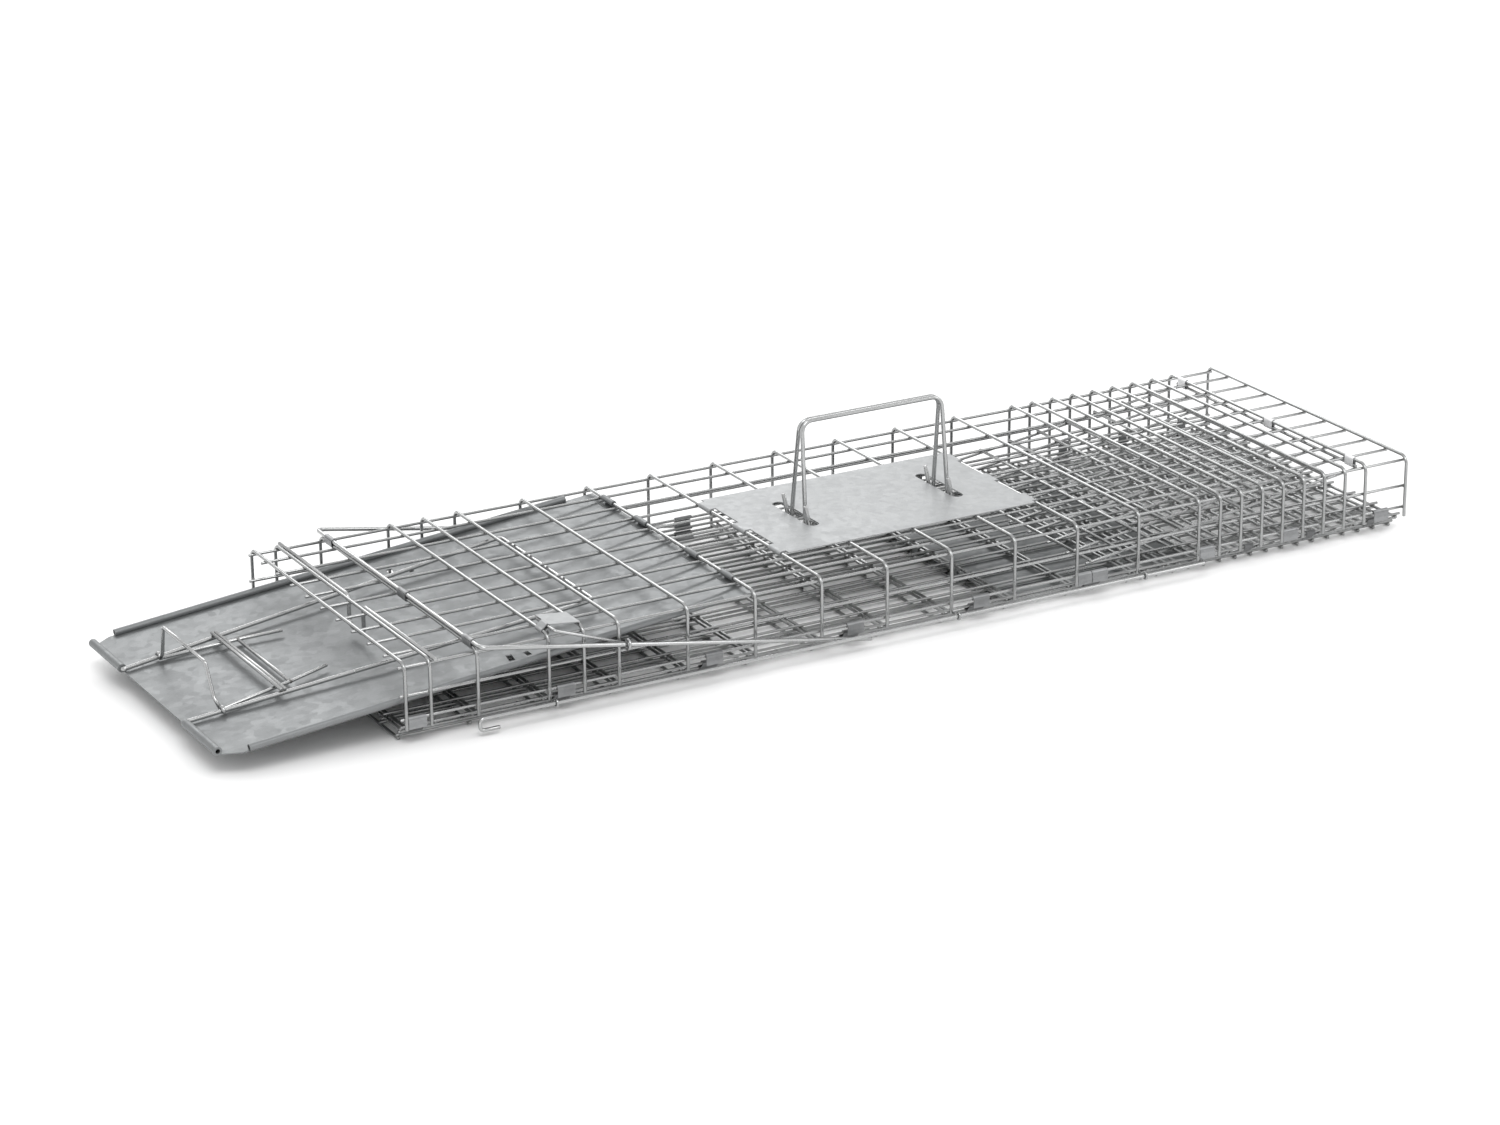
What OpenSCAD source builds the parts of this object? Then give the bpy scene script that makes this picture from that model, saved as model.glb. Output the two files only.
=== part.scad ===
// Folding live catch trap, folded flat with its carry handle raised.
// +X runs from the door lip to the rear, +Z is up.
// The origin is on the floor under the middle of the folded trap.

/* [Cage] */
// Spacing of the long wires across the top
line_pitch = 24.56; // [24.5:0.01:24.6]
// Spacing of the hoop wires along the top
hoop_pitch = 50.8; // [50.7:0.01:50.9]
// Height of the hoop centreline above the lower edge of the side flanges
hoop_z = 45.3; // [45:0.1:46]
// Radius of a hoop wire
hoop_r = 1.2; // [1.15:0.01:1.2]
// Radius of a long wire
line_r = 1.0; // [0.95:0.01:1]

/* [Handle] */
// Height of the top of the carry handle above the flange edge
grip_z = 115; // [90:1:130]
// Radius of the handle wire
grip_r = 1.5; // [1.3:0.05:1.5]

/* [Door] */
// Slope of the folded door in degrees
door_slope = 5.65; // [5.6:0.05:5.7]
// Thickness of the door sheet
door_t = 0.8; // [0.6:0.1:0.8]

/* [Springs and latch] */
// Length of the set bail arms
bail_len = 293.6; // [250:0.1:300]
// Slope of the set bail arms in degrees
bail_slope = 10; // [9:0.5:11]
// Radius of the set bail wire
bail_r = 1.5; // [1.3:0.05:1.5]

/* [Hidden] */
$fn = 48;
// Weld depth between crossing wires
weld = 0.2;
// Extra radius of the ball at a sharp bend of a wire
knuckle = 0.03;
// Wall of a small sheet metal clip
clip_t = 0.6;
// Running clearance between a clip and the wire that turns in it
fit = 0.08;
half_w = 5 * line_pitch;
bend_r = 6;
line_z = hoop_z - hoop_r - line_r + weld;
flange_y = half_w - hoop_r - line_r + weld;
fine_start = 12 * hoop_pitch;
fine_pitch = 18;
rear_x = fine_start + 10 * fine_pitch;
rear_hinge_x = fine_start + 8 * fine_pitch;
hoops = concat([0, 17.5, hoop_pitch, 2 * hoop_pitch, 2.5 * hoop_pitch],
    [for (k = [3:12]) k * hoop_pitch],
    [for (k = [1:8]) fine_start + k * fine_pitch],
    [rear_x]);
// Handle plate
plate_x0 = 6 * hoop_pitch;
plate_x1 = 10 * hoop_pitch;
plate_y0 = -3 * line_pitch;
plate_y1 = 2 * line_pitch;
plate_z = hoop_z + hoop_r + 0.05;
plate_t = 0.8;
slot_xs = [350, 466.4];
slot_w = 9;
slot_y0 = -37;
slot_y1 = 18.6;
// Carry handle
grip_x0 = 352.6;
grip_x1 = 464.8;
hook_r = 2.6;
stub_h = 15.7;
// Door
door_hinge_x = 5 * hoop_pitch;
door_top_z = hoop_z - 3.7;
door_len = 379.3;
door_half_w = 117;
hem_x = -122.5;
hem_z = 6.6;
hem_out = 2.9;
lock_r = 1.5;
lock_y0 = 52.5;
lock_y1 = 70;
lock_x1 = 162;
lock_z1 = 40.3;
// Set bail and release latch
bail_x = hoop_pitch;
bail_z = hoop_z + 2.9;
bail_y = 128.6;
latch_x = 105;
latch_z = bail_z;
latch_r = 1.1;
latch_y = 125.4;
latch_len = latch_x - bail_x;
latch_slope = 2 * bail_slope;
eye_r = 3.2;
eye_wire = 0.9;
// Trigger rod
trig_y = -131.9;
trig_z = 1.2;
trig_r = 1.3;
trig_x0 = 47;
trig_x1 = 610;
guide_r = 0.8;
// Folded panels under the top, from the top one down
pin_y = 120.2;
far_z = 0;
far_e = -116;
far_pitch = (pin_y - far_e) / 9;
floor_y0 = -112;
floor_y1 = 121.8;
floor_z = -4.5;
near_y0 = 117.8;
near_y1 = -107.9;
near_z = -8.1;
cross_r = 1.1;
cross_drop = 2.0;
panel_x0 = -1.5;
panel_x1 = rear_x + 1.2;
mesh_x0 = 571;
mesh_pitch = 13.5;
hinge_clips = [[5, 10.3], [107.5, 13], [217, 13], [325, 13], [424.5, 13],
    [520, 13], [653.4, 7.6], [707.4, 7.6], [761.4, 7.6]];
// Treadle
treadle_x = 9 * hoop_pitch;
treadle_len = 165;
treadle_w = 100;
treadle_z = -6.7;
treadle_t = 0.7;
// Rear panel
rear_slope = 7.2;
rear_len = 232;
rear_z = hoop_z - 6.3;
// Shift from the cage corner to the floor point under the middle
front_tip = hem_x - hem_out;
near_tip = trig_y - trig_r - fit - 2 * guide_r;
far_tip = bail_y + bail_r;
floor_tip = near_z - cross_drop - cross_r;
shift = [-(rear_x + hoop_r + front_tip) / 2, -(far_tip + near_tip) / 2, -floor_tip];
wire_grey = [0.66, 0.67, 0.66];
sheet_grey = [0.55, 0.57, 0.57];
plate_grey = [0.76, 0.77, 0.76];
bright = [0.74, 0.75, 0.74];

// A round wire from one point to another
module rod(a, b, r) {
    d = b - a;
    translate(a)
        rotate([0, acos(d[2] / norm(d)), atan2(d[1], d[0])])
            cylinder(h = norm(d), r = r);
}

// A wire through several points with a ball at every bend
module bent(pts, r) {
    for (i = [0:len(pts) - 2])
        rod(pts[i], pts[i + 1], r);
    for (i = [1:len(pts) - 2])
        translate(pts[i])
            sphere(r = r + knuckle);
}

// A quarter bend in the XY plane, round the origin, from +X towards +Y
module elbow(bend, r, turn = 90) {
    rotate_extrude(angle = turn)
        translate([bend, 0])
            circle(r = r);
}

// A straight wire along X
module along_x(y, z, r, x0, x1) {
    translate([x0, y, z])
        rotate([0, 90, 0])
            cylinder(h = x1 - x0, r = r);
}

// A straight wire along Y
module along_y(x, z, r, y0, y1) {
    translate([x, y0, z])
        rotate([-90, 0, 0])
            cylinder(h = y1 - y0, r = r);
}

// Outline of a strap round two round wires, one at the origin and one at b
module strap_shape(b, r0, r1) {
    d = norm(b);
    difference() {
        union() {
            circle(r = r0 + clip_t);
            translate(b)
                circle(r = r1 + clip_t);
            rotate(atan2(b[1], b[0]))
                translate([0, -min(r0, r1) - clip_t + 0.05])
                    square([d, 2 * (min(r0, r1) + clip_t - 0.05)]);
        }
        circle(r = r0);
        translate(b)
            circle(r = r1);
        rotate(atan2(b[1], b[0]))
            translate([0, -min(r0, r1) + 0.05])
                square([d, 2 * (min(r0, r1) - 0.05)]);
    }
}

// A strap lying across Y: shape drawn in X and Z, running w along Y from y0
module strap_y(x, z, b, r0, r1, y0, w) {
    translate([x, y0 + w, z])
        rotate([90, 0, 0])
            linear_extrude(w)
                strap_shape(b, r0, r1);
}

// A strap lying across X: shape drawn in Y and Z, running w along X from x0
module strap_x(y, z, b, r0, r1, x0, w) {
    translate([x0, y, z])
        rotate([90, 0, 90])
            linear_extrude(w)
                strap_shape(b, r0, r1);
}

// A flat welded grid: long wires along X at the given y, cross wires along Y at the given x
module grid(ys, z, x0, x1, xs, cz, y0, y1) {
    for (y = ys)
        along_x(y, z, line_r, x0, x1);
    for (x = xs)
        along_y(x, cz, cross_r, y0, y1);
}

// Flat top: hoop tops with the long wires welded under them
module top_grille() {
    color(wire_grey)
        translate(shift) {
            for (x = hoops)
                along_y(x, hoop_z, hoop_r, bend_r - half_w, half_w - bend_r);
            for (k = [1:9])
                along_x(k * line_pitch - half_w, line_z, line_r, -3.5, rear_x + 1);
        }
}

// One side flange: hoop legs, their bends and the long wires inside them
module flange() {
    for (x = hoops) {
        translate([x, -half_w, 0])
            cylinder(h = hoop_z - bend_r, r = hoop_r);
        translate([x, bend_r - half_w, hoop_z - bend_r])
            rotate([90, 0, -90])
                elbow(bend_r, hoop_r);
    }
    for (z = [6.9, 23])
        along_x(-flange_y, z, line_r, -3.5, rear_x + 1);
    along_x(3.2 - half_w, hoop_z - 3.2, line_r, -3.5, rear_x + 1);
}

module near_flange() {
    color(wire_grey)
        translate(shift)
            flange();
}

module far_flange() {
    color(wire_grey)
        translate(shift)
            mirror([0, 1, 0])
                flange();
}

// Wire across the front of the top with a notch that catches the lock frame
module front_catch() {
    x = 20.3;
    r = 1.4;
    low = 25;
    b = 5;
    top = line_z + line_r + r + 0.02;
    color(bright)
        translate(shift) {
            along_y(x, top, r, -126, -15 - b);
            translate([x, -15 - b, top - b])
                rotate([90, 0, 90])
                    elbow(b, r);
            translate([x, -15, low + b])
                cylinder(h = top - low - 2 * b, r = r);
            translate([x, b - 15, low + b])
                rotate([90, 180, 90])
                    elbow(b, r);
            along_y(x, low, r, b - 15, 8 - b);
            translate([x, 8 - b, low + b])
                rotate([90, 90, 90])
                    elbow(b, r);
            translate([x, 8, low + b])
                cylinder(h = top - low - 2 * b, r = r);
            translate([x, 8 + b, top - b])
                rotate([90, -90, 90])
                    elbow(b, r);
            along_y(x, top, r, 8 + b, 122);
        }
}

// Tab of a sheet rolled round a hoop, drawn in X and Z about the hoop, sheet going to +X
module roll_shape(r_in, wall, reach) {
    difference() {
        union() {
            circle(r = r_in + wall);
            translate([0, r_in + 0.02])
                square([reach, wall - 0.04]);
        }
        circle(r = r_in);
        rotate(-28)
            translate([0, -0.3])
                square([3 * r_in, 0.6]);
    }
}

// Sheet under the carry handle, hooked over two hoops by rolled tabs
module handle_plate() {
    r_in = hoop_r + 0.05;
    color(plate_grey)
        translate(shift) {
            difference() {
                translate([plate_x0 + 3, plate_y0, plate_z + 0.02])
                    cube([plate_x1 - plate_x0 - 6, plate_y1 - plate_y0, plate_t - 0.04]);
                for (x = slot_xs) {
                    translate([x - slot_w / 2, slot_y0 + slot_w / 2, plate_z - 1])
                        cube([slot_w, slot_y1 - slot_y0 - slot_w, 4]);
                    for (y = [slot_y0 + slot_w / 2, slot_y1 - slot_w / 2])
                        translate([x, y, plate_z - 1])
                            cylinder(h = 4, r = slot_w / 2);
                }
            }
            for (k = [-2.5, -0.5, 1.5]) {
                translate([plate_x0, k * line_pitch + 8, hoop_z])
                    rotate([90, 0, 0])
                        linear_extrude(16)
                            roll_shape(r_in, plate_t, 4);
                translate([plate_x1, k * line_pitch - 8, hoop_z])
                    rotate([90, 0, 180])
                        linear_extrude(16)
                            roll_shape(r_in, plate_t, 4);
            }
        }
}

// Three straps that hold the set bail rod on a hoop
module bail_clips() {
    color(sheet_grey)
        translate(shift)
            for (y = [-110.5, -12.3, 105.5])
                strap_y(bail_x, hoop_z, [0, bail_z - hoop_z], hoop_r + 0.05, bail_r + fit, y - 6, 12);
}

// Small sheet over the near front corner whose end straps carry the release latch pin
module latch_plate() {
    color(sheet_grey)
        translate(shift) {
            strap_y(2 * hoop_pitch, hoop_z, [latch_x - 2 * hoop_pitch, latch_z - hoop_z],
                hoop_r + 0.05, latch_r + fit, -115.5, 8.5);
            translate([latch_x, -117, latch_z + latch_r + fit + 0.1])
                rotate([0, 6.6, 0])
                    cube([22.6, 20, 0.6]);
        }
}

// Hooks on the near flange that receive the top edge of the near side panel
module near_hinge_clips() {
    starts = [1.6, 107.5, 217, 325, 424.5, 509.6, 521.2, 611.4, 683.2, 763];
    r = line_r + fit;
    color(sheet_grey)
        translate(shift)
            for (x = starts)
                translate([x, -flange_y, 6.9])
                    rotate([90, 0, 90])
                        linear_extrude(x == 509.6 ? 11 : 12.6)
                            difference() {
                                union() {
                                    circle(r = r + clip_t);
                                    translate([-2.05, -6.7])
                                        square([0.6, 6.7]);
                                }
                                circle(r = r);
                                rotate(-60)
                                    translate([0, -0.3])
                                        square([3, 0.6]);
                            }
}

// Straps that hinge the far side panel to the far flange
module far_hinge_clips() {
    r = line_r + fit;
    color(sheet_grey)
        translate(shift)
            for (c = hinge_clips)
                strap_x(pin_y, far_z, [flange_y - pin_y, 6.9], r, r, c[0], c[1]);
}

// Wire rings on the near flange that guide the trigger rod
module rod_guides() {
    ring = trig_r + fit + guide_r;
    color(wire_grey)
        translate(shift)
            for (x = [2, 8, 11] * hoop_pitch) {
                translate([x, trig_y, trig_z])
                    rotate([0, 90, 0])
                        rotate_extrude()
                            translate([ring, 0])
                                circle(r = guide_r);
                along_y(x, trig_z, guide_r, trig_y + ring, -half_w - hoop_r);
            }
}

// One wire of the carry handle: hooked ends turn on a long wire of the top
module handle_wire(pin, bar) {
    side = sign(bar - pin);
    b = 8;
    for (e = [[grip_x0, 350.6, 347.4], [grip_x1, 465.6, 462.6]]) {
        out = e[0] == grip_x0 ? 1 : -1;
        leg_foot = [e[1], pin + side * hook_r, line_z];
        leg_head = [e[0], bar, grip_z - b];
        stub_foot = [e[1], pin - side * hook_r, line_z];
        stub_head = [e[2], pin - side * (hook_r + 0.4), line_z + stub_h];
        rod(leg_foot, leg_head, grip_r);
        translate(leg_head)
            sphere(r = grip_r + knuckle);
        translate(leg_foot)
            sphere(r = grip_r + knuckle);
        translate(stub_foot)
            sphere(r = grip_r + knuckle);
        rod(stub_foot, stub_head, grip_r);
        translate([e[1], pin, line_z])
            rotate([90, 180, 90])
                elbow(hook_r, grip_r, 180);
        translate([e[0] + out * b, bar, grip_z - b])
            mirror([max(out, 0), 0, 0])
                rotate([90, 0, 0])
                    elbow(b, grip_r);
    }
    along_x(bar, grip_z, grip_r, grip_x0 + b, grip_x1 - b);
}

module handle_wire_near() {
    color(bright)
        translate(shift)
            handle_wire(-line_pitch, -14.15);
}

module handle_wire_far() {
    color(bright)
        translate(shift)
            handle_wire(0, -10.75);
}

// Front door sheet with rolled hinge tabs, hemmed sides and rolled front hems
module door() {
    side_r = 2.4;
    edge = door_half_w - side_r;
    color(sheet_grey)
        translate(shift) {
            translate([door_hinge_x, 0, door_top_z])
                rotate([0, 180 - door_slope, 0])
                    difference() {
                        translate([-2.1, 0, 0])
                            linear_extrude(door_t)
                                polygon([[0, -edge], [door_len - 13, -edge],
                                    [door_len, -107], [door_len, 107],
                                    [door_len - 13, edge], [0, edge]]);
                        for (y = [-100, 84])
                            translate([168.5, y - 5, -1])
                                rotate([0, 0, 10])
                                    cube([4, 10, 3]);
                        for (y = [-101.5, 77])
                            translate([156, y - 3, -1])
                                cube([3.5, 7, 3]);
                    }
            for (s = [-1, 1]) {
                translate([door_hinge_x, s * edge, door_top_z])
                    rotate([0, -90 - door_slope, 0])
                        translate([side_r - door_t + 0.03, 0, 20])
                            difference() {
                                cylinder(h = 340, r = side_r);
                                translate([0, 0, -1])
                                    cylinder(h = 342, r = side_r - door_t);
                            }
                difference() {
                    along_y(hem_x, hem_z, hem_out, s > 0 ? 54.5 : -107.5, s > 0 ? 107.5 : -54.5);
                    along_y(hem_x, hem_z, lock_r + fit, s > 0 ? 54 : -108, s > 0 ? 108 : -54);
                }
            }
            for (k = [-3.5, -1.5, 1.5, 3.5])
                translate([door_hinge_x, k * line_pitch + 8, hoop_z])
                    rotate([90, 0, 0])
                        linear_extrude(16)
                            difference() {
                                union() {
                                    circle(r = hoop_r + 0.08 + door_t);
                                    translate([1.29, -4.4])
                                        square([0.75, 4.4]);
                                    translate([-4, -4.43])
                                        square([5.8, 0.65]);
                                }
                                circle(r = hoop_r + 0.08);
                            }
        }
}

// Two long rods and their cross rod, with ends turned out into the front hems
module lock_frame() {
    color(bright)
        translate(shift) {
            for (s = [-1, 1]) {
                rod([hem_x, s * lock_y0, hem_z], [lock_x1, s * lock_y1, lock_z1], lock_r);
                along_y(hem_x, hem_z, lock_r, s > 0 ? lock_y0 : -100, s > 0 ? 100 : -lock_y0);
                translate([hem_x, s * lock_y0, hem_z])
                    sphere(r = lock_r + knuckle);
                translate([lock_x1, s * lock_y1, lock_z1])
                    sphere(r = lock_r + knuckle);
            }
            along_y(lock_x1, lock_z1, lock_r, -lock_y1, lock_y1);
        }
}

// Height of the lock rods and their distance from the middle at a place along the trap
function lock_z(x) = hem_z + (x - hem_x) / (lock_x1 - hem_x) * (lock_z1 - hem_z);
function lock_y(x) = lock_y0 + (x - hem_x) / (lock_x1 - hem_x) * (lock_y1 - lock_y0);

// Finger grip on the lock rods: rings, upright bow and two long tails joined by a bar
module grip_bail() {
    r = 1.2;
    ring = lock_r + 0.05 + r;
    ring_x = -97;
    top_z = 37.5;
    z0 = lock_z(ring_x);
    tail_x = -16;
    bar_x = -45;
    foot = [ring_x, lock_y(ring_x) - ring, z0];
    color(bright)
        translate(shift) {
            for (m = [0, 1])
                mirror([0, m, 0]) {
                    translate([ring_x, lock_y(ring_x), z0])
                        rotate([90, 15, 90])
                            elbow(ring, r, 195);
                    bent([foot, [ring_x - 1, 43.5, z0 + 6], [ring_x - 2.6, 35.5, top_z]], r);
                    bent([foot, [bar_x, 43, lock_z(bar_x) - 0.4],
                        [tail_x, 36, lock_z(tail_x) - 0.6]], r);
                    translate(foot)
                        sphere(r = r + knuckle);
                    translate([ring_x - 2.6, 35.5, top_z])
                        sphere(r = r + knuckle);
                }
            along_y(ring_x - 2.6, top_z, r, -35.5, 35.5);
            along_y(bar_x, lock_z(bar_x) - 0.4, r, -43, 43);
        }
}

// Doubled wire welded across the lock rods
module lock_bar() {
    r = 1.2;
    x = -56;
    color(bright)
        translate(shift)
            for (d = [-1.22, 1.22])
                along_y(x + d, lock_z(x) + lock_r + r + 0.25, r, -58, 58);
}

// Rod over the front with an arm down each side
module set_bail() {
    b = 5;
    color(bright)
        translate(shift)
            translate([bail_x, 0, bail_z])
                rotate([0, bail_slope, 0]) {
                    along_y(0, 0, bail_r, b - bail_y, bail_y - b);
                    for (m = [0, 1])
                        mirror([0, m, 0]) {
                            translate([b, bail_y - b, 0])
                                rotate([0, 0, 90])
                                    elbow(b, bail_r);
                            along_x(bail_y, 0, bail_r, b, bail_len);
                        }
                }
}

// Short latch on the near side whose eye slides along the set bail arm
module release_latch() {
    color(bright)
        translate(shift)
            translate([latch_x, 0, latch_z]) {
                along_y(0, 0, latch_r, -latch_y, -100);
                translate([0, -latch_y, 0])
                    sphere(r = latch_r + knuckle);
                translate([0, -103.5, 0])
                    rotate([0, 150, 0])
                        cylinder(h = 12, r = 1);
                rotate([0, latch_slope, 0])
                    along_x(-latch_y, 0, latch_r, 0, latch_len);
                translate([latch_len * cos(latch_slope), -bail_y, -latch_len * sin(latch_slope)])
                    rotate([0, 90 + bail_slope, 0])
                        rotate_extrude()
                            translate([eye_r, 0])
                                circle(r = eye_wire);
            }
}

// Long sliding rod low on the near side with a hook at the front
module trigger_rod() {
    b = 3;
    drop = 8;
    back = 14;
    color(bright)
        translate(shift) {
            along_x(trig_y, trig_z, trig_r, trig_x0 + b, trig_x1 - b);
            translate([trig_x0 + b, trig_y, trig_z - b])
                mirror([1, 0, 0])
                    rotate([90, 0, 0])
                        elbow(b, trig_r);
            translate([trig_x0, trig_y, trig_z - drop + b])
                cylinder(h = drop - 2 * b, r = trig_r);
            translate([trig_x0 + b, trig_y, trig_z - drop + b])
                rotate([90, 180, 0])
                    elbow(b, trig_r);
            along_x(trig_y, trig_z - drop, trig_r, trig_x0 + b, trig_x0 + back);
            translate([trig_x1 - b, trig_y + b, trig_z])
                rotate([0, 0, -90])
                    elbow(b, trig_r);
            along_y(trig_x1, trig_z, trig_r, trig_y + b, -125.5);
        }
}

// Folded side and floor panels: cross wire places, coarse in front and fine at the rear
function coarse(dx, first) = [for (k = [first:11]) k * hoop_pitch + dx];
function fine(dx) = [for (k = [0:16]) mesh_x0 + k * mesh_pitch + dx];

module far_side_panel() {
    color(wire_grey)
        translate(shift)
            grid([for (k = [0:9]) pin_y - k * far_pitch], far_z, panel_x0, panel_x1,
                concat(coarse(3.4, 0), fine(0)), far_z - cross_drop, far_e - 1.3, pin_y - 0.3);
}

module bottom_panel() {
    color(wire_grey)
        translate(shift)
            grid([for (k = [0:9]) floor_y0 + k * (floor_y1 - floor_y0) / 9], floor_z,
                panel_x0, panel_x1,
                concat(coarse(0, 0), [for (k = [0:7]) mesh_x0 + (2 * k + 1.5) * mesh_pitch]),
                floor_z + cross_drop, floor_y0 - 1.3, floor_y1 + 1.3);
}

module near_side_panel() {
    color(wire_grey)
        translate(shift)
            grid([for (k = [0:9]) near_y0 + k * (near_y1 - near_y0) / 9], near_z,
                panel_x0, panel_x1,
                concat(coarse(0, 0), fine(0)), near_z - cross_drop, near_y1 - 1.3,
                near_y0 + 1.3);
}

// Straps that hinge the floor panel to the lower edge of the far side panel
module bottom_clips() {
    r = line_r + fit;
    color(sheet_grey)
        translate(shift)
            for (c = hinge_clips)
                strap_x(far_e, far_z, [floor_y0 - far_e, floor_z - far_z], r, r, c[0], c[1]);
}

// Straps that hinge the near side panel to the floor panel
module near_side_clips() {
    r = line_r + fit;
    color(sheet_grey)
        translate(shift)
            for (c = hinge_clips)
                strap_x(floor_y1, floor_z, [near_y0 - floor_y1, near_z - floor_z], r, r,
                    c[0], c[1]);
}

// Treadle sheet over the floor, hooked round a floor cross wire
module treadle() {
    z = floor_z + cross_drop;
    color(sheet_grey)
        translate(shift) {
            difference() {
                translate([treadle_x + 2.3, -treadle_w, treadle_z])
                    cube([treadle_len, 2 * treadle_w, treadle_t]);
                for (y = [-60, 0, 60])
                    translate([treadle_x + 66, y - 22, treadle_z + 0.45])
                        cube([44, 44, 1]);
            }
            for (y = [-47, 4.9, 56.8])
                translate([treadle_x, y + 4, z])
                    rotate([90, 0, 0])
                        linear_extrude(8)
                            difference() {
                                union() {
                                    circle(r = cross_r + 0.6);
                                    translate([-1.65, treadle_z - z])
                                        square([0.5, z - treadle_z]);
                                    translate([-1.65, treadle_z - z])
                                        square([4.5, treadle_t]);
                                }
                                circle(r = cross_r + 0.1);
                            }
        }
}

// Rear panel, hung from a hoop and sloping down forwards
module rear_panel() {
    color(wire_grey)
        translate(shift)
            translate([rear_hinge_x, 0, rear_z])
                rotate([0, -rear_slope, 0])
                    grid([for (k = [-4.5:1:4.5]) k * line_pitch], 0, -rear_len, 1.2,
                        [for (k = [0:9]) -k * 25.4], cross_drop, -4.5 * line_pitch - 1.2,
                        4.5 * line_pitch + 1.2);
}

// Straps that carry the rear panel on the hoop
module rear_clips() {
    color(sheet_grey)
        translate(shift)
            for (y = [-109.1, -10.9, 99.6])
                strap_y(rear_hinge_x, hoop_z, [-cross_drop * sin(rear_slope),
                    rear_z + cross_drop * cos(rear_slope) - hoop_z],
                    hoop_r + fit, cross_r + 0.05, y, 9.4);
}

top_grille();
near_flange();
far_flange();
front_catch();
handle_plate();
bail_clips();
latch_plate();
near_hinge_clips();
far_hinge_clips();
rod_guides();
handle_wire_near();
handle_wire_far();
door();
lock_frame();
grip_bail();
lock_bar();
set_bail();
release_latch();
trigger_rod();
far_side_panel();
bottom_panel();
bottom_clips();
near_side_panel();
near_side_clips();
treadle();
rear_panel();
rear_clips();
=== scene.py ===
import math
import random

import bpy
from mathutils import Matrix, Vector


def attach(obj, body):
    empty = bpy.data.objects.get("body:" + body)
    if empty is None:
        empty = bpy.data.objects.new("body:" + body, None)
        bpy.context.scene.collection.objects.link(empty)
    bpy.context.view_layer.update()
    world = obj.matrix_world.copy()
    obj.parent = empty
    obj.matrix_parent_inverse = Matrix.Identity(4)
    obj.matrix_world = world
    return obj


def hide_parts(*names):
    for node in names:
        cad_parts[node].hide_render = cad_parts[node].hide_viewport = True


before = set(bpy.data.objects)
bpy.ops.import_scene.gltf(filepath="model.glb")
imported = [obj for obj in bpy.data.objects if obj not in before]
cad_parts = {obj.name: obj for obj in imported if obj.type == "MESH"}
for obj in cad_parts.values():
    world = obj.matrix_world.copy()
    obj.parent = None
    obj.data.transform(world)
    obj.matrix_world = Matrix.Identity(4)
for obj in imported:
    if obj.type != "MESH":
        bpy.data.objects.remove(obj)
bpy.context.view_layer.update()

# Lengths below are in millimetres from the cage's front lower corner, as in the CAD.
SHIFT = Vector((-332.7, 2.39, 11.2))
MM = 0.001
LINE_PITCH = 24.56
HOOP_PITCH = 50.8
HALF_W = 5 * LINE_PITCH
HOOP_Z = 45.3
HOOP_R = 1.2
LINE_R = 1.0
LINE_Z = 43.3
CROSS_R = 1.1
FINE_START = 12 * HOOP_PITCH
FINE_PITCH = 18
REAR_X = FINE_START + 10 * FINE_PITCH
HOOPS = (
    [0, 17.5, HOOP_PITCH, 2 * HOOP_PITCH, 2.5 * HOOP_PITCH]
    + [k * HOOP_PITCH for k in range(3, 13)]
    + [FINE_START + FINE_PITCH * k for k in range(1, 9)]
    + [REAR_X]
)
WIRE_OVERHANG = 3.5
FLANGE_LINES = (6.9, 23)
CORNER_DROP = 3.2
# The folded panels: heights of their long wires, and how far their cross wires lie off them.
PANEL_X0 = -1.5
PANEL_X1 = REAR_X + 1.2
CROSS_DROP = 2.0
FAR_Y, FAR_Z = (120.2, -116.0), 0
FLOOR_Y, FLOOR_Z = (-112.0, 121.8), -4.5
NEAR_Y, NEAR_Z = (117.8, -107.9), -8.1
MESH_X0, MESH_PITCH = 571, 13.5
REAR_HINGE_X = FINE_START + 8 * FINE_PITCH
REAR_SLOPE = 7.2
# Sheet clips: thickness, bore over a long wire, and each hinge clip's start and width along X.
CLIP_WALL = 0.6
CLIP_BORE = 1.08
CLIPS = [(5, 10.3), (107.5, 13), (217, 13), (325, 13), (424.5, 13), (520, 13), (653.4, 7.6),
         (707.4, 7.6), (761.4, 7.6)]
rng = random.Random(7)


def place(p):
    return (Vector(p) + SHIFT) * MM


# ---------------------------------------------------------------- materials

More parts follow.
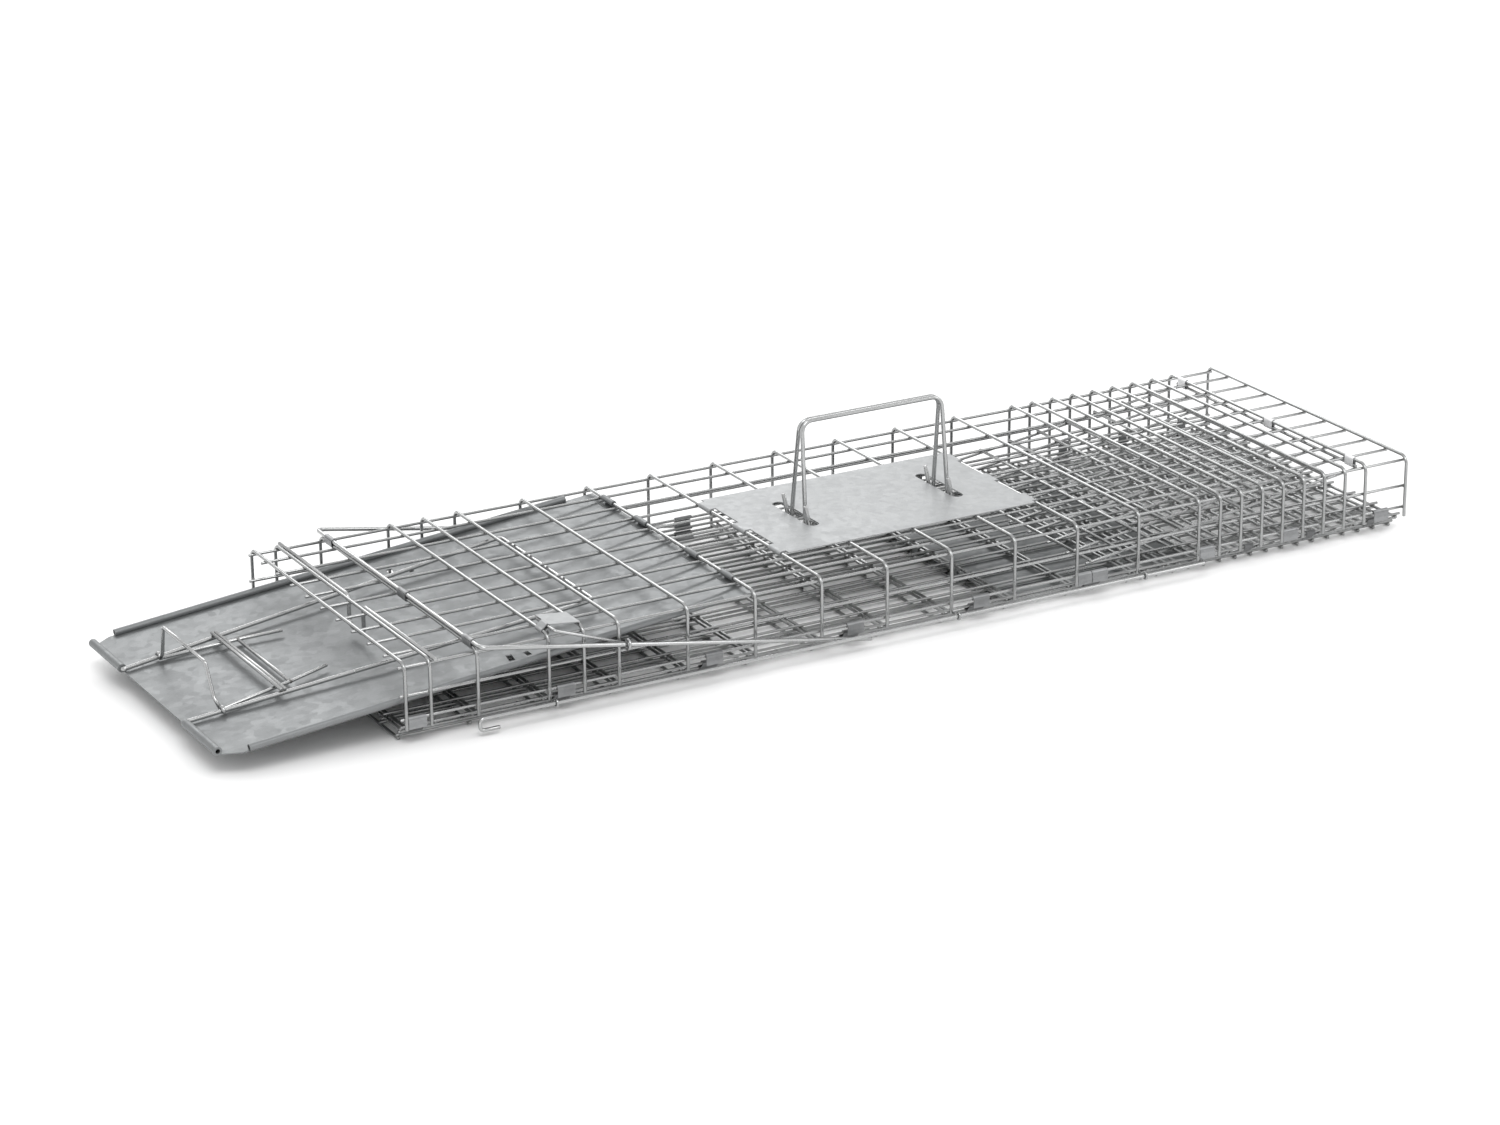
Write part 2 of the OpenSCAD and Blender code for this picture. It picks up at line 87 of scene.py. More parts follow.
def metal(name, base, rough, metallic=1.0, spangle=0.0, spangle_scale=260.0, mottle=0.12,
          streak=0.0, bump=0.15, grime_and_crease_shade=0.35, seed=0.0, dulling=0.2):
    """Galvanised or plated steel: crystal spangle, mottled dulling, drawing marks, grime spots and
    painted shade darkening concave creases.
    """
    m = bpy.data.materials.new(name)
    m.use_nodes = True
    nt = m.node_tree
    nodes, links = nt.nodes, nt.links
    bsdf = nodes["Principled BSDF"]
    bsdf.inputs["Metallic"].default_value = metallic
    bsdf.inputs["Base Color"].default_value = (*base, 1)
    bsdf.inputs["Roughness"].default_value = rough
    coord = nodes.new("ShaderNodeTexCoord")
    shift = nodes.new("ShaderNodeMapping")
    shift.inputs["Location"].default_value = (seed, seed * 1.7, seed * 0.6)
    links.new(coord.outputs["Object"], shift.inputs["Vector"])
    src = shift.outputs["Vector"]

    def noise(scale, detail=6.0, rough_=0.6, vec=src):
        n = nodes.new("ShaderNodeTexNoise")
        n.inputs["Scale"].default_value = scale
        n.inputs["Detail"].default_value = detail
        n.inputs["Roughness"].default_value = rough_
        links.new(vec, n.inputs["Vector"])
        return n.outputs["Fac"]

    def math_(op, a, b):
        n = nodes.new("ShaderNodeMath")
        n.operation = op
        for i, v in enumerate((a, b)):
            if isinstance(v, (int, float)):
                n.inputs[i].default_value = v
            else:
                links.new(v, n.inputs[i])
        return n.outputs[0]

    def remap(v, lo, hi, to_lo, to_hi):
        n = nodes.new("ShaderNodeMapRange")
        n.inputs["From Min"].default_value = lo
        n.inputs["From Max"].default_value = hi
        n.inputs["To Min"].default_value = to_lo
        n.inputs["To Max"].default_value = to_hi
        links.new(v, n.inputs["Value"])
        return n.outputs["Result"]

    tone = remap(noise(34), 0.3, 0.7, 1 - mottle, 1 + mottle * 0.6)
    fine = remap(noise(900, 3), 0.3, 0.7, 0.95, 1.05)
    tone = math_("MULTIPLY", tone, fine)
    rough_v = remap(noise(60, 5), 0.3, 0.7, rough * (1 - dulling), rough * (1 + dulling))
    height = noise(1400, 3)
    if spangle:
        cell = nodes.new("ShaderNodeTexVoronoi")
        cell.inputs["Scale"].default_value = spangle_scale
        cell.inputs["Randomness"].default_value = 1.0
        warp = nodes.new("ShaderNodeVectorMath")
        warp.operation = "ADD"
        jitter = nodes.new("ShaderNodeTexNoise")
        jitter.inputs["Scale"].default_value = 160.0
        links.new(src, jitter.inputs["Vector"])
        small = nodes.new("ShaderNodeVectorMath")
        small.operation = "SCALE"
        small.inputs["Scale"].default_value = 0.004
        links.new(jitter.outputs["Color"], small.inputs[0])
        links.new(src, warp.inputs[0])
        links.new(small.outputs["Vector"], warp.inputs[1])
        links.new(warp.outputs["Vector"], cell.inputs["Vector"])
        split = nodes.new("ShaderNodeSeparateColor")
        links.new(cell.outputs["Color"], split.inputs["Color"])
        tone = math_("MULTIPLY", tone, remap(split.outputs[0], 0, 1, 1 - spangle, 1 + spangle))
        rough_v = math_("ADD", rough_v, remap(split.outputs[1], 0, 1, -0.06, 0.06))
    if streak:
        long_ = nodes.new("ShaderNodeMapping")
        long_.inputs["Scale"].default_value = (9.0, 420.0, 420.0)
        links.new(src, long_.inputs["Vector"])
        lines = noise(1.0, 4, 0.6, long_.outputs["Vector"])
        tone = math_("MULTIPLY", tone, remap(lines, 0.3, 0.7, 1 - streak, 1 + streak))
        height = math_("ADD", height, math_("MULTIPLY", lines, 0.8))
    if grime_and_crease_shade:
        # painted shade: concave creases (low pointiness) are darkened; the noise spots after it are
        # grime
        geo = nodes.new("ShaderNodeNewGeometry")
        edge = remap(geo.outputs["Pointiness"], 0.44, 0.5, 1 - grime_and_crease_shade, 1.0)
        tone = math_("MULTIPLY", tone, edge)
        spots = remap(noise(120, 8, 0.7), 0.62, 0.76, 1.0, 1 - grime_and_crease_shade * 0.6)
        tone = math_("MULTIPLY", tone, spots)
        rough_v = math_("ADD", rough_v, remap(spots, 1 - grime_and_crease_shade * 0.6, 1.0, 0.15, 0.0))
    mix = nodes.new("ShaderNodeMix")
    mix.data_type = "RGBA"
    mix.blend_type = "MULTIPLY"
    mix.inputs["Factor"].default_value = 1.0
    mix.inputs["A"].default_value = (*base, 1)
    grey = nodes.new("ShaderNodeCombineColor")
    for i in range(3):
        links.new(tone, grey.inputs[i])
    links.new(grey.outputs["Color"], mix.inputs["B"])
    links.new(mix.outputs["Result"], bsdf.inputs["Base Color"])
    links.new(rough_v, bsdf.inputs["Roughness"])
    b = nodes.new("ShaderNodeBump")
    b.inputs["Strength"].default_value = bump
    b.inputs["Distance"].default_value = 0.0002
    links.new(height, b.inputs["Height"])
    links.new(b.outputs["Normal"], bsdf.inputs["Normal"])
    return m


WIRE = metal("galvanised_wire", (0.37, 0.375, 0.375), 0.24, metallic=0.94, mottle=0.12, bump=0.2,
             grime_and_crease_shade=0.3, seed=0.3)
PANEL_WIRE = metal("galvanised_panel_wire", (0.33, 0.335, 0.335), 0.3, metallic=0.92, mottle=0.15,
                   bump=0.3, grime_and_crease_shade=0.4, seed=1.1)
WELD = metal("weld_nugget", (0.2, 0.197, 0.19), 0.5, metallic=0.85, mottle=0.35, bump=0.6,
             grime_and_crease_shade=0.5, seed=2.0)
ROD = metal("bright_rod", (0.44, 0.445, 0.445), 0.24, metallic=0.96, mottle=0.1, bump=0.15,
            grime_and_crease_shade=0.2, seed=2.6)
SHEET = metal("galvanised_sheet", (0.22, 0.228, 0.231), 0.5, metallic=0.8, spangle=0.02,
              spangle_scale=170, mottle=0.025, streak=0.025, bump=0.015, grime_and_crease_shade=0.02,
              seed=3.2, dulling=0.04)
PLATE = metal("handle_plate_sheet", (0.36, 0.368, 0.372), 0.5, metallic=0.65, spangle=0.02,
              spangle_scale=230, mottle=0.02, streak=0.02, bump=0.015, grime_and_crease_shade=0.02,
              seed=4.1, dulling=0.04)
CLIP = metal("clip_strip", (0.29, 0.295, 0.3), 0.44, metallic=0.85, spangle=0.05,
             spangle_scale=400, mottle=0.18, streak=0.1, bump=0.3, grime_and_crease_shade=0.4,
             seed=5.3)
# painted highlight: a near-white copy of the clip finish for the rear clip curls, which face up into
# the light
CLIP_PAINTED_HIGHLIGHT = metal("clip_painted_highlight", (0.8, 0.805, 0.81), 0.42, metallic=0.35, spangle=0.03,
             spangle_scale=400, mottle=0.05, bump=0.1, grime_and_crease_shade=0.15, seed=6.7)


# ---------------------------------------------------------------- meshes

class Mesh:
    """Collects tubes, weld nuggets and bands, then becomes one object."""

    def __init__(self):
        self.verts, self.faces, self.mats = [], [], []

    def add(self, verts, faces, mat=0):
        base = len(self.verts)
        self.verts += verts
        self.faces += [[base + i for i in f] for f in faces]
        self.mats += [mat] * len(faces)

    def tube(self, pts, r, sides=12, closed=False, mat=0):
        pts = [Vector(p) for p in pts]
        n = len(pts)
        tangents = []
        for i in range(n):
            a = pts[i - 1] if i or closed else pts[i]
            b = pts[(i + 1) % n] if i < n - 1 or closed else pts[i]
            tangents.append((b - a).normalized())
        side = tangents[0].orthogonal().normalized()
        rings = []
        for i in range(n):
            if i:
                side = (side - tangents[i] * side.dot(tangents[i])).normalized()
            up = tangents[i].cross(side)
            rings.append((pts[i], side.copy(), up, r))
        if not closed:
            chamfer = min(0.25, r * 0.3)
            p, s, u, _ = rings[0]
            q, s2, u2, _ = rings[-1]
            rings = ([(p, s, u, r - chamfer), (p + tangents[0] * chamfer, s, u, r)]
                     + rings[1:-1]
                     + [(q - tangents[-1] * chamfer, s2, u2, r), (q, s2, u2, r - chamfer)])
        verts = []
        for p, s, u, rad in rings:
            for k in range(sides):
                a = 2 * math.pi * k / sides
                verts.append(place(p + (s * math.cos(a) + u * math.sin(a)) * rad))
        faces = []
        count = len(rings)
        for i in range(count if closed else count - 1):
            j = (i + 1) % count
            for k in range(sides):
                l = (k + 1) % sides
                faces.append([i * sides + k, i * sides + l, j * sides + l, j * sides + k])
        if not closed:
            faces.append(list(range(sides))[::-1])
            faces.append([(count - 1) * sides + k for k in range(sides)])
        self.add(verts, faces, mat)

    def nugget(self, p, size, mat=1):
        """A squashed ball of weld metal."""
        p = Vector(p)
        sx, sy, sz = size
        turn = rng.uniform(0, math.pi)
        rows, cols = 5, 8
        verts = [place(p + Vector((0, 0, -sz)))]
        for i in range(1, rows):
            a = math.pi * i / rows - math.pi / 2
            for k in range(cols):
                b = 2 * math.pi * k / cols + turn
                w = 1 + rng.uniform(-0.08, 0.08)
                verts.append(place(p + Vector((sx * math.cos(a) * math.cos(b) * w,
                                               sy * math.cos(a) * math.sin(b) * w,
                                               sz * math.sin(a)))))
        verts.append(place(p + Vector((0, 0, sz))))
        faces = []
        for k in range(cols):
            l = (k + 1) % cols
            faces.append([0, 1 + l, 1 + k])
            for i in range(rows - 2):
                a = 1 + i * cols
                faces.append([a + k, a + l, a + cols + l, a + cols + k])
            faces.append([len(verts) - 1, 1 + (rows - 2) * cols + k, 1 + (rows - 2) * cols + l])
        self.add(verts, faces, mat)

    def make(self, name, mats, smooth_angle=None):
        me = bpy.data.meshes.new(name)
        me.from_pydata([tuple(v) for v in self.verts], [], self.faces)
        for m in mats:
            me.materials.append(m)
        me.polygons.foreach_set("material_index", self.mats)
        me.polygons.foreach_set("use_smooth", [True] * len(self.faces))
        me.update()
        if smooth_angle:
            me.set_sharp_from_angle(angle=math.radians(smooth_angle))
        ob = bpy.data.objects.new(name, me)
        bpy.context.scene.collection.objects.link(ob)
        return ob


def arc(pts, radius, steps=7):
    """The same path with its corners rounded."""
    pts = [Vector(p) for p in pts]
    radii = radius if isinstance(radius, (list, tuple)) else [radius] * (len(pts) - 2)
    out = [pts[0]]
    for i in range(1, len(pts) - 1):
        a = (pts[i - 1] - pts[i])
        b = (pts[i + 1] - pts[i])
        u, v = a.normalized(), b.normalized()
        turn = math.pi - u.angle(v)
        if turn < 0.02:
            out.append(pts[i])
            continue
        t = min(radii[i - 1] * math.tan(turn / 2), a.length * 0.49, b.length * 0.49)
        r = t / math.tan(turn / 2)
        p0 = pts[i] + u * t
        mid = (u + v).normalized()
        centre = pts[i] + mid * (r / math.cos(turn / 2))
        s = p0 - centre
        axis = s.cross(pts[i] + v * t - centre).normalized()
        n = max(3, int(steps * turn / (math.pi / 2)) + 1)
        for k in range(n + 1):
            out.append(centre + Matrix.Rotation(turn * k / n, 3, axis) @ s)
    out.append(pts[-1])
    return out


def straight(a, b, wave=0.10, step=45.0):
    """A long wire with the slight waviness of real mesh."""
    a, b = Vector(a), Vector(b)
    n = max(2, int((b - a).length / step))
    d = (b - a).normalized()
    s1 = d.orthogonal().normalized()
    s2 = d.cross(s1)
    ph1, ph2 = rng.uniform(0, 6.28), rng.uniform(0, 6.28)
    k1, k2 = rng.uniform(2, 5), rng.uniform(2, 5)
    out = []
    for i in range(n + 1):
        t = i / n
        damp = math.sin(math.pi * t)
        out.append(a.lerp(b, t) + s1 * (wave * damp * math.sin(ph1 + k1 * 6.28 * t))
                   + s2 * (0.5 * wave * damp * math.sin(ph2 + k2 * 6.28 * t)))
    return out


def finish(obj, body, slot, *nodes):
    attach(obj, body)
    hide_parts(*nodes)


# ---------------------------------------------------------------- top section

def top_mesh():
    m = Mesh()
    y = HALF_W
    for x in HOOPS:
        path = arc([(x, -y, 0), (x, -y, HOOP_Z), (x, y, HOOP_Z), (x, y, 0)], 6, 9)
        m.tube(path, HOOP_R, 14)
        weld_x = min(x, REAR_X - 0.35)
        for k in range(1, 10):
            m.nugget((weld_x, k * LINE_PITCH - y, HOOP_Z - 1.15), (1.5, 1.3, 0.55))
        for s in (-1, 1):
            for z in FLANGE_LINES:
                m.nugget((weld_x, s * (y - 1.15), z), (1.45, 0.55, 1.3))
            m.nugget((weld_x, s * (y - 2.7), HOOP_Z - 2.7), (1.4, 0.9, 0.9))
    for k in range(1, 10):
        line_y = k * LINE_PITCH - y
        m.tube(straight((-WIRE_OVERHANG, line_y, LINE_Z), (REAR_X + 1, line_y, LINE_Z)), LINE_R)
    for s in (-1, 1):
        lines = [(y - 2.0, z) for z in FLANGE_LINES] + [(y - CORNER_DROP, HOOP_Z - CORNER_DROP)]
        for yy, z in lines:
            m.tube(straight((-WIRE_OVERHANG, s * yy, z), (REAR_X + 1, s * yy, z), 0.06), LINE_R)
    finish(m.make("top_mesh", [WIRE, WELD]), "top_section", "wire", "top_grille", "near_flange",
           "far_flange")


def grid(m, ys, z, x0, x1, xs, cz, y0, y1, move=None):
    """Long wires along X at z and cross wires along Y at cz, with weld nuggets."""
    start = len(m.verts)
    for y in ys:
        m.tube(straight((x0, y, z), (x1, y, z), 0.06), LINE_R, 10)
    for x in xs:
        m.tube(straight((x, y0, cz), (x, y1, cz), 0.04), CROSS_R, 10)
        for y in ys:
            m.nugget((x, y, (z + cz) / 2), (1.35, 1.35, 0.5))
    if move:
        for i in range(start, len(m.verts)):
            m.verts[i] = move @ m.verts[i]


def coarse(dx):
    return [k * HOOP_PITCH + dx for k in range(12)]


def fine():
    return [MESH_X0 + MESH_PITCH * k for k in range(17)]


def lines_between(ends):
    """Places of ten long wires spread evenly from one edge to the other."""
    return [ends[0] + (ends[1] - ends[0]) / 9 * k for k in range(10)]


def folded_panels():
    m = Mesh()
    grid(m, lines_between(FAR_Y), FAR_Z, PANEL_X0, PANEL_X1, coarse(3.4) + fine(),
         FAR_Z - CROSS_DROP, FAR_Y[1] - 1.3, FAR_Y[0] - 0.3)
    finish(m.make("far_side_mesh", [PANEL_WIRE, WELD]), "far_side", "wire", "far_side_panel")
    m = Mesh()
    mid_gaps = [MESH_X0 + (2 * k + 1.5) * MESH_PITCH for k in range(8)]
    grid(m, lines_between(FLOOR_Y), FLOOR_Z, PANEL_X0, PANEL_X1, coarse(0) + mid_gaps,
         FLOOR_Z + CROSS_DROP, FLOOR_Y[0] - 1.3, FLOOR_Y[1] + 1.3)
    finish(m.make("floor_mesh", [PANEL_WIRE, WELD]), "floor_panel", "wire", "bottom_panel")
    m = Mesh()
    grid(m, lines_between(NEAR_Y), NEAR_Z, PANEL_X0, PANEL_X1, coarse(0) + fine(),
         NEAR_Z - CROSS_DROP, NEAR_Y[1] - 1.3, NEAR_Y[0] + 1.3)
    finish(m.make("near_side_mesh", [PANEL_WIRE, WELD]), "near_side", "wire", "near_side_panel")
    m = Mesh()
    pivot = place((REAR_HINGE_X, 0, HOOP_Z - 6.3))
    edge = 4.5 * LINE_PITCH
    turn = Matrix.Rotation(math.radians(-REAR_SLOPE), 4, "Y")
    offset = Vector((pivot.x, SHIFT.y * MM, pivot.z))
    local = Matrix.Translation(offset) @ turn @ Matrix.Translation(-SHIFT * MM)
    grid(m, [(k - 4.5) * LINE_PITCH for k in range(10)], 0, -232, 1.2,
         [-25.4 * k for k in range(10)], CROSS_DROP, -edge - 1.2, edge + 1.2, local)
    finish(m.make("rear_mesh", [WIRE, WELD]), "rear_door", "wire", "rear_panel")


# ---------------------------------------------------------------- rods and bails

def catch_wire():
    x, z, low = 20.3, LINE_Z + LINE_R + 1.42, 25
    m = Mesh()
    m.tube(arc([(x, -126, z), (x, -15, z), (x, -15, low), (x, 8, low), (x, 8, z), (x, 122, z)],
               5, 8), 1.4, 14)
    finish(m.make("catch_wire", [ROD]), "top_section", "bright_rod", "front_catch")


def handle(pin, bar, name, body, node):
    side = 1 if bar > pin else -1
    hook, lift = 2.6, 15.7
    z = LINE_Z

    def hooked(foot_x, stub_x):
        """The hook from the end of the stub round under the pivot wire."""
        out = [Vector((stub_x, pin - side * (hook + 0.4), z + lift))]
        for k in range(13):
            a = math.pi * k / 12
            out.append(Vector((foot_x, pin - side * hook * math.cos(a), z - hook * math.sin(a))))
        return out

    left = hooked(350.6, 347.4)
    right = hooked(465.6, 462.6)
    top = arc([left[-1], (352.6, bar, 115), (464.8, bar, 115), right[-1]], 8, 10)
    m = Mesh()
    m.tube(left + top[1:-1] + right[::-1], 1.5, 16)
    finish(m.make(name, [ROD]), body, "bright_rod", node)


HEM = (-122.5, 6.6)
LOCK_END = (162.0, 40.3)


def lock_z(x):
    return HEM[1] + (x - HEM[0]) / (LOCK_END[0] - HEM[0]) * (LOCK_END[1] - HEM[1])


def lock_y(x):
    return 52.5 + (x - HEM[0]) / (LOCK_END[0] - HEM[0]) * 17.5


def lock_parts():
    m = Mesh()
    m.tube(arc([(HEM[0], -100, HEM[1]), (HEM[0], -52.5, HEM[1]), (LOCK_END[0], -70, LOCK_END[1]),
                (LOCK_END[0], 70, LOCK_END[1]), (HEM[0], 52.5, HEM[1]), (HEM[0], 100, HEM[1])],
               [1.6, 5, 5, 1.6], 8), 1.5, 16)
    for s in (-1, 1):
        m.nugget((LOCK_END[0] - 4, s * 69.6, LOCK_END[1] - 0.3), (0.9, 0.9, 0.9), 0)
    finish(m.make("lock_rods", [ROD]), "lock", "bright_rod", "lock_frame")
    m = Mesh()
    r, ring, rx, top = 1.2, 2.75, -97, 37.5
    bx, tx = -45, -16
    for s in (-1, 1):
        cy, cz = lock_y(rx), lock_z(rx)
        coil = []
        for k in range(21):
            a = math.radians(-15 + 195 * k / 20)
            coil.append(Vector((rx, s * (cy + ring * math.cos(a)), cz + ring * math.sin(a))))
        bow = arc([coil[-1], (rx - 1, s * 43.5, cz + 6), (rx - 2.6, s * 35.5, top),
                   (rx - 2.6, 0, top)], [4, 2.5], 6)
        m.tube(coil + bow[1:], r, 12)
        m.tube(arc([coil[-1], (bx, s * 43, lock_z(bx) - 0.4), (tx, s * 36, lock_z(tx) - 0.6)],
                   10, 6), r, 12)
        m.nugget((bx, s * 43, lock_z(bx) - 0.4), (1.8, 1.5, 1.4), 1)
    m.tube([(bx, -43, lock_z(bx) - 0.4), (bx, 0, lock_z(bx) - 0.4), (bx, 43, lock_z(bx) - 0.4)],
           r, 12)
    finish(m.make("grip_wire", [ROD, WELD]), "lock", "bright_rod", "grip_bail")
    m = Mesh()
    for d in (-1.22, 1.22):
        z = lock_z(-56) + 1.5 + 1.2 + 0.25
        m.tube(straight((-56 + d, -58, z), (-56 + d, 58, z), 0.05), 1.2, 12)
    for s in (-1, 1):
        m.nugget((-56, s * lock_y(-56), lock_z(-56) + 1.7), (2.4, 1.3, 0.6), 1)
    finish(m.make("lock_bars", [ROD, WELD]), "lock", "bright_rod", "lock_bar")


def springs():
    slope = math.radians(10)
    px, pz, y = 50.8, HOOP_Z + 2.9, 128.6

    def along(d):
        return px + d * math.cos(slope), pz - d * math.sin(slope)

    ex, ez = along(293.6)
    m = Mesh()
    m.tube(arc([(ex, -y, ez), (px, -y, pz), (px, y, pz), (ex, y, ez)], 5, 9), 1.5, 16)
    finish(m.make("set_bail_wire", [ROD]), "bail", "bright_rod", "set_bail")
    m = Mesh()
    lx, ly = 105.0, 125.4
    a = math.radians(20)
    tip = (lx + 54.2 * math.cos(a), -ly, pz - 54.2 * math.sin(a))
    m.tube(arc([(lx, -100, pz), (lx, -ly, pz), tip], 1.4, 7), 1.1, 12)
    ux, uz = math.cos(slope), -math.sin(slope)
    eye = []
    for k in range(24):
        b = 2 * math.pi * k / 24
        eye.append(Vector((tip[0] + 3.2 * math.cos(b) * -uz, -y + 3.2 * math.sin(b),
                           tip[2] + 3.2 * math.cos(b) * ux)))
    m.tube(eye, 0.9, 10, closed=True)
    m.tube([(lx, -103.5, pz), (lx + 3, -103.5, pz - 5.2), (lx + 6, -103.5, pz - 10.39)], 1.0, 10)
    finish(m.make("release_wire", [ROD]), "release", "bright_rod", "release_latch")
    m = Mesh()
    ty, tz = -131.9, 1.2
    m.tube(arc([(61, ty, tz - 8), (47, ty, tz - 8), (47, ty, tz), (610, ty, tz),
                (610, -125.5, tz)], 3, 7), 1.3, 14)
    finish(m.make("trigger_wire", [ROD]), "trigger", "bright_rod", "trigger_rod")
    m = Mesh()
    for x in (2 * HOOP_PITCH, 8 * HOOP_PITCH, 11 * HOOP_PITCH):
        ring = []
        for k in range(24):
            b = 2 * math.pi * k / 24
            ring.append(Vector((x, ty + 2.18 * math.cos(b), tz + 2.18 * math.sin(b))))
        m.tube(ring, 0.8, 10, closed=True)
        m.tube([(x, ty + 2.18, tz), (x, ty + 4, tz), (x, -124.0, tz)], 0.8, 10)
    finish(m.make("guide_rings", [WIRE]), "top_section", "wire", "rod_guides")


# ---------------------------------------------------------------- sheet metal clips

def band(m, axis, where, circles, start, width, gap):
    """A strip bent round one or two wires. axis is the way it is wide; circles are (u, v, r)."""
    samples = 48
    loop = []
    first, last = gap[1], gap[0] + 360
    for k in range(samples + 1):
        a = math.radians(first + (last - first) * k / samples)
        n = (math.cos(a), math.sin(a))
        c = max(circles, key=lambda q: q[0] * n[0] + q[1] * n[1] + q[2])
        loop.append((c[0] + c[2] * n[0], c[1] + c[2] * n[1], n))
    verts = []
    bevel = 0.12
    for w, inset in ((0, bevel), (bevel, 0), (width - bevel, 0), (width, bevel)):
        for u, v, n in loop:
            verts.append((u + n[0] * inset, v + n[1] * inset, start + w))
            verts.append((u + n[0] * (CLIP_WALL - inset), v + n[1] * (CLIP_WALL - inset),
                          start + w))
    world = []
    for u, v, w in verts:
        if axis == "y":
            world.append(place((where[0] + u, w, where[1] + v)))
        else:
            world.append(place((w, where[0] + u, where[1] + v)))
    count = len(loop)
    row = 2 * count
    faces = []
    for j in range(3):
        for k in range(count - 1):
            a, b = j * row + 2 * k, j * row + 2 * (k + 1)
            faces.append([a, b, b + row, a + row])
            faces.append([a + 1, a + 1 + row, b + 1 + row, b + 1])
        for k in (0, count - 1):
            a = j * row + 2 * k
            quad = [a, a + row, a + row + 1, a + 1]
            faces.append(quad if k == 0 else quad[::-1])
    for j, flip in ((0, True), (3, False)):
        for k in range(count - 1):
            a, b = j * row + 2 * k, j * row + 2 * (k + 1)
            quad = [a, a + 1, b + 1, b]
            faces.append(quad[::-1] if flip else quad)
    m.add(world, faces)


def hinge_straps(name, body, node, edge, other, gap):
    """The straps along one fold, from the wire at edge to the wire at other beyond it."""
    m = Mesh()
    for x, w in CLIPS:
        band(m, "x", edge, [(0, 0, CLIP_BORE), (*other, CLIP_BORE)], x, w, gap)
    finish(m.make(name, [CLIP], 35), body, "clip", node)


def clips():
    m = Mesh()
    for y in (-116.5, -18.3, 99.5):
        band(m, "y", (HOOP_PITCH, HOOP_Z), [(0, 0, 1.25), (0, 2.9, 1.58)], y, 12, (150, 160))
    finish(m.make("bail_straps", [CLIP], 35), "top_section", "clip", "bail_clips")
    hinge_straps("far_hinge_straps", "top_section", "far_hinge_clips", (FAR_Y[0], FAR_Z),
                 (0.6, 6.9), (170, 178))
    hinge_straps("floor_hinge_straps", "floor_panel", "bottom_clips", (FAR_Y[1], FAR_Z),
                 (4, -4.5), (60, 70))
    hinge_straps("near_side_straps", "near_side", "near_side_clips", (FLOOR_Y[1], FLOOR_Z),
                 (-4, -3.6), (100, 110))
    m = Mesh()
    for y in (-109.1, -10.9, 99.6):
        band(m, "y", (REAR_HINGE_X, HOOP_Z), [(0, 0, 1.28), (-0.25, -4.32, 1.15)], y, 9.4, (10, 20))
    # the rear straps use the painted-highlight copy of the clip finish
    finish(m.make("rear_straps", [CLIP_PAINTED_HIGHLIGHT], 35), "rear_door", "clip", "rear_clips")


def dress(node, mat):
    """A CAD sheet node keeps its shape; it gets softened edges and its material."""
    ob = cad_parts[node]
    ob.data.materials.clear()
    ob.data.materials.append(mat)
    bev = ob.modifiers.new("edge", "BEVEL")
    bev.width = 0.12 * MM
    bev.segments = 2
    bev.limit_method = "ANGLE"
    bev.angle_limit = math.radians(50)
    bev.harden_normals = False


top_mesh()
folded_panels()
catch_wire()
handle(-LINE_PITCH, -14.15, "handle_bow_near", "handle_near", "handle_wire_near")
handle(0, -10.75, "handle_bow_far", "handle_far", "handle_wire_far")
lock_parts()
springs()
clips()
dress("door", SHEET)
dress("treadle", SHEET)
dress("handle_plate", PLATE)
dress("latch_plate", PLATE)
dress("near_hinge_clips", CLIP)


# ---------------------------------------------------------------- camera, floor and light

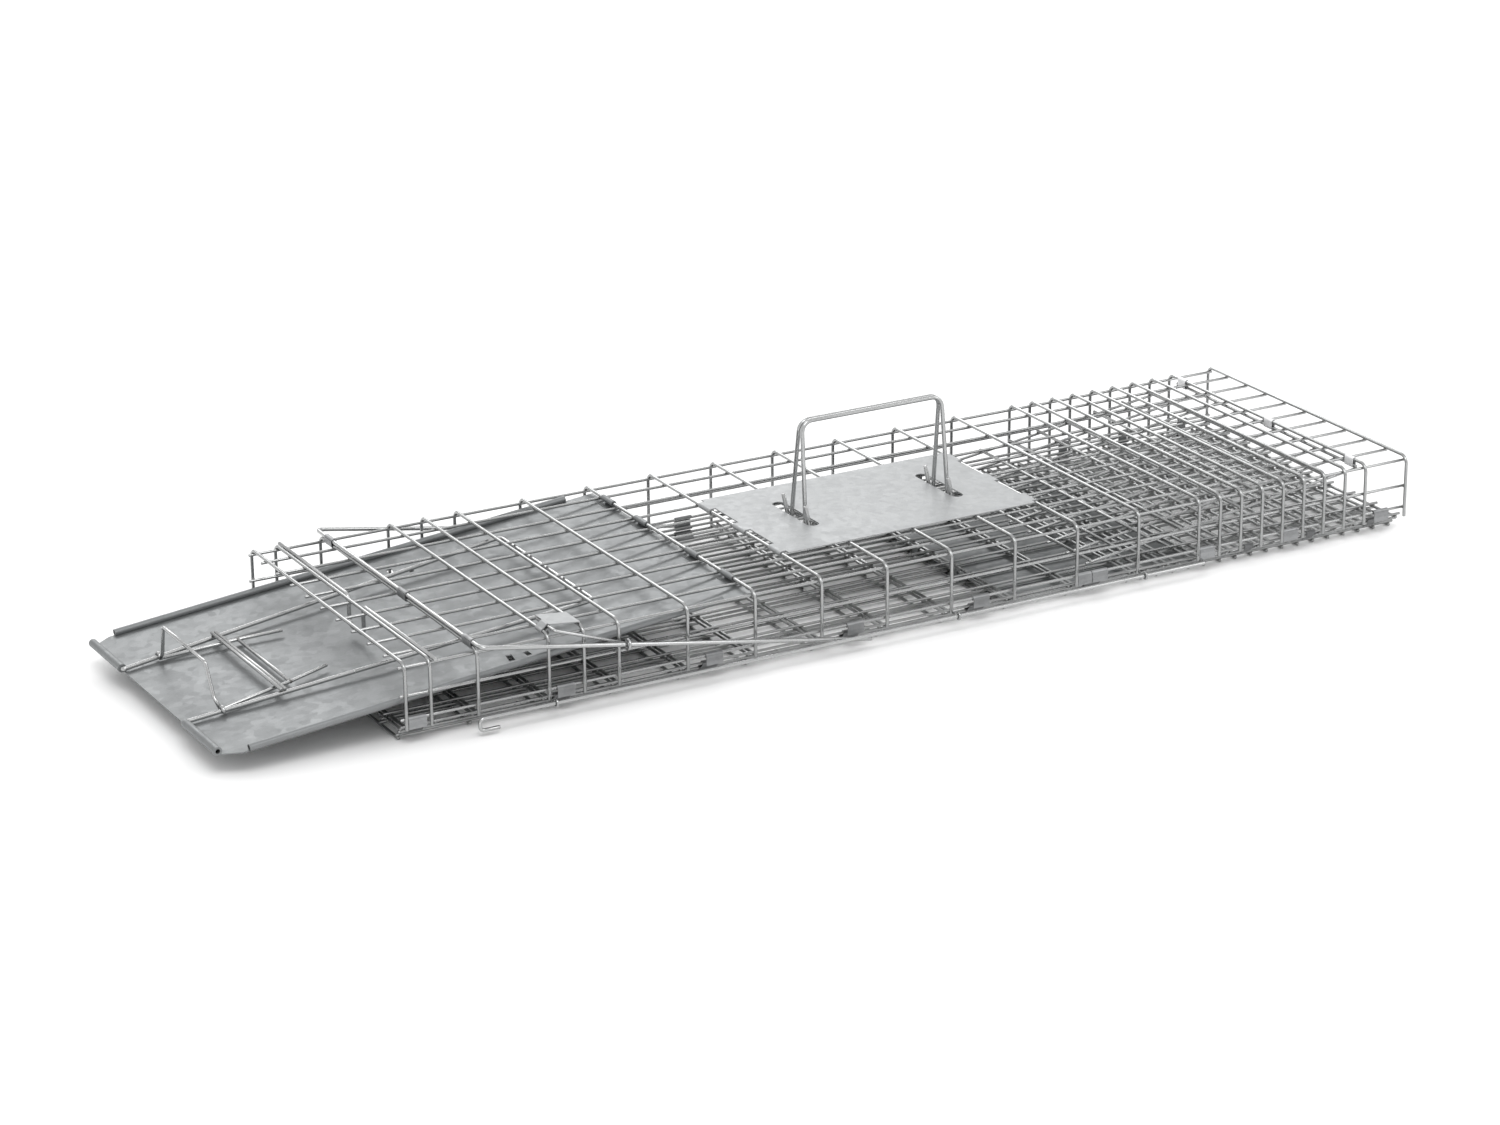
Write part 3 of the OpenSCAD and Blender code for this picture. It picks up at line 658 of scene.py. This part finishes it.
def camera():
    azimuth, elevation, roll = (math.radians(a) for a in (-29.142, 20.395, -0.529))
    back = Vector((math.sin(azimuth) * math.cos(elevation), -math.cos(azimuth) * math.cos(elevation),
                   math.sin(elevation)))
    right = Vector((math.cos(azimuth), math.sin(azimuth), 0))
    up = back.cross(right)
    c, s = math.cos(roll), math.sin(roll)
    right, up = right * c + up * s, up * c - right * s
    cam = bpy.data.cameras.new("camera")
    cam.lens = 101.55
    cam.sensor_width = 36
    cam.clip_end = 50
    ob = bpy.data.objects.new("camera", cam)
    bpy.context.scene.collection.objects.link(ob)
    m = Matrix((right, up, back)).transposed().to_4x4()
    m.translation = Vector((-1.3497, -2.3935, 1.0454))
    ob.matrix_world = m
    bpy.context.scene.camera = ob


def floor():
    me = bpy.data.meshes.new("floor")
    s = 12
    me.from_pydata([(-s, -s, -0.0002), (s, -s, -0.0002), (s, s, -0.0002), (-s, s, -0.0002)], [],
                   [(0, 1, 2, 3)])
    ob = bpy.data.objects.new("floor", me)
    bpy.context.scene.collection.objects.link(ob)
    mat = bpy.data.materials.new("floor_paper")
    mat.use_nodes = True
    b = mat.node_tree.nodes["Principled BSDF"]
    b.inputs["Base Color"].default_value = (0.93, 0.93, 0.93, 1)
    b.inputs["Roughness"].default_value = 0.9
    b.inputs["Specular IOR Level"].default_value = 0.1
    me.materials.append(mat)


def lamp(name, place_, aim, size, power):
    data = bpy.data.lights.new(name, "AREA")
    data.shape = "RECTANGLE"
    data.size, data.size_y = size
    data.energy = power
    ob = bpy.data.objects.new(name, data)
    bpy.context.scene.collection.objects.link(ob)
    ob.location = place_
    ob.rotation_euler = (Vector(aim) - Vector(place_)).to_track_quat("-Z", "Y").to_euler()


camera()
floor()
lamp("key", (-0.9, -1.6, 2.6), (0, 0, 0), (1.6, 1.2), 31)
lamp("fill", (2.4, -1.4, 1.6), (0.1, 0, 0), (1.6, 1.4), 18)
lamp("rim", (0.6, 2.6, 1.8), (0, 0, 0), (2.4, 0.9), 26)
world = bpy.data.worlds.new("studio")
world.use_nodes = True
world.node_tree.nodes["Background"].inputs["Color"].default_value = (1, 1, 1, 1)
world.node_tree.nodes["Background"].inputs["Strength"].default_value = 0.97
bpy.context.scene.world = world
bpy.context.scene.view_settings.view_transform = "Standard"
